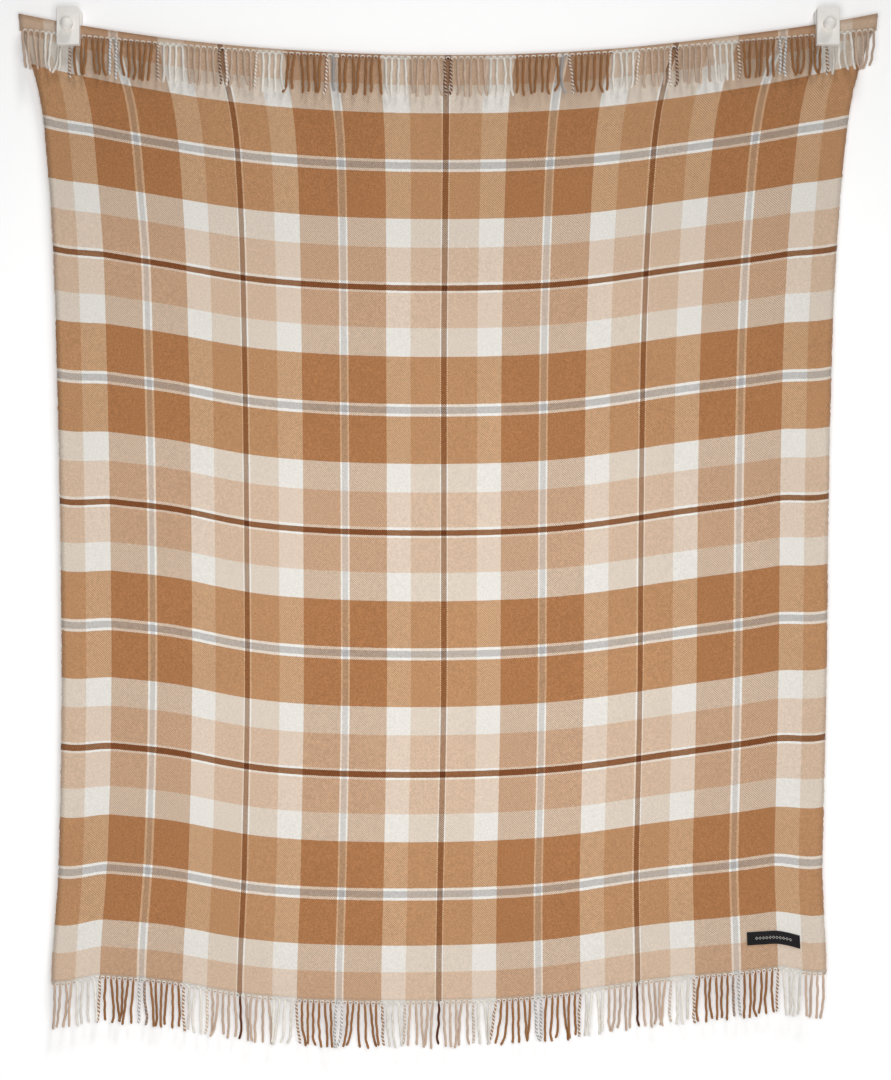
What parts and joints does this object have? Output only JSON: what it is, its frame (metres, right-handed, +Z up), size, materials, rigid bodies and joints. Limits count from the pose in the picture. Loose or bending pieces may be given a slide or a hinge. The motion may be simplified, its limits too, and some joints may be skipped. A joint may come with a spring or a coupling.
{
  "type": "camp blanket",
  "caption": "Fringed plaid twill blanket hung portrait from two white wooden wall clamps, its top end folded over to the front.",
  "frame": {"origin": "on the wall plane, midway between the two clamps, at the height of their bolts", "axes": "+Z up; +Y into the wall, so the blanket's front faces -Y; +X to the right as seen from the front"},
  "size_m": [1.4248, 0.0437, 1.7238],
  "materials": {
    "plaid_cloth": "brushed 2/2 twill in brown, tan, beige and white checks with thin dark-brown and grey lines",
    "hem_thread": "off-white whipping thread",
    "fringe_beige": "twisted beige yarn cords",
    "fringe_white": "twisted off-white yarn cords",
    "fringe_brown": "twisted caramel-brown yarn cords, with grey cords in the middle",
    "label_black": "black damask weave with a plain cream woven motif",
    "label_thread": "black sewing thread",
    "white_painted_wood": "satin off-white paint over fine-grained wood",
    "bolt_steel": "zinc-plated steel",
    "insert_brass": "turned brass"
  },
  "bodies": {
    "hanging_blanket": {"woven_cloth": "plaid_cloth", "top_whip_stitching": "hem_thread", "top_fringe_01_beige": "fringe_beige", "top_fringe_02_white": "fringe_white", "top_fringe_03_brown": "fringe_brown", "top_fringe_04_white": "fringe_white", "top_fringe_05_beige": "fringe_beige", "top_fringe_06_white": "fringe_white", "top_fringe_07_brown": "fringe_brown", "top_fringe_08_white": "fringe_white", "top_fringe_09_beige": "fringe_beige", "top_fringe_10_white": "fringe_white", "top_fringe_11_brown": "fringe_brown", "top_fringe_12_white": "fringe_white", "top_fringe_13_beige": "fringe_beige", "top_fringe_14_white": "fringe_white", "top_fringe_15_brown": "fringe_brown", "top_fringe_16_white": "fringe_white", "top_fringe_17_beige": "fringe_beige", "bottom_whip_stitching": "hem_thread", "bottom_fringe_01_beige": "fringe_beige", "bottom_fringe_02_white": "fringe_white", "bottom_fringe_03_brown": "fringe_brown", "bottom_fringe_04_white": "fringe_white", "bottom_fringe_05_beige": "fringe_beige", "bottom_fringe_06_white": "fringe_white", "bottom_fringe_07_brown": "fringe_brown", "bottom_fringe_08_white": "fringe_white", "bottom_fringe_09_beige": "fringe_beige", "bottom_fringe_10_white": "fringe_white", "bottom_fringe_11_brown": "fringe_brown", "bottom_fringe_12_white": "fringe_white", "bottom_fringe_13_beige": "fringe_beige", "bottom_fringe_14_white": "fringe_white", "bottom_fringe_15_brown": "fringe_brown", "bottom_fringe_16_white": "fringe_white", "bottom_fringe_17_beige": "fringe_beige", "woven_label": "label_black", "label_stitching": "label_thread", "left_back_plate": "white_painted_wood", "left_clamp_bolt": "bolt_steel", "right_back_plate": "white_painted_wood", "right_clamp_bolt": "bolt_steel"},
    "left_jaw": {"left_front_jaw": "white_painted_wood"},
    "right_jaw": {"right_front_jaw": "white_painted_wood"},
    "left_knob": {"left_knob": "white_painted_wood", "left_knob_insert": "insert_brass"},
    "right_knob": {"right_knob": "white_painted_wood", "right_knob_insert": "insert_brass"}
  },
  "joints": [
    {"name": "left_jaw_slide", "type": "slide", "parent": "hanging_blanket", "child": "left_jaw", "axis": [0, -1, 0], "range_m": [0, 0.00508]},
    {"name": "left_knob_turn", "type": "hinge", "parent": "left_jaw", "child": "left_knob", "pos_m": [-0.62751, -0.0292, 0], "axis": [0, -1, 0], "range_deg": [0, 1441]},
    {"name": "right_jaw_slide", "type": "slide", "parent": "hanging_blanket", "child": "right_jaw", "axis": [0, -1, 0], "range_m": [0, 0.00508]},
    {"name": "right_knob_turn", "type": "hinge", "parent": "right_jaw", "child": "right_knob", "pos_m": [0.62751, -0.0292, 0], "axis": [0, -1, 0], "range_deg": [0, 1441]}
  ],
  "couplings": [
    {"joint": "left_knob_turn", "follows": "left_jaw_slide", "rad_per_m": 4947.4},
    {"joint": "right_knob_turn", "follows": "right_jaw_slide", "rad_per_m": 4947.4}
  ]
}
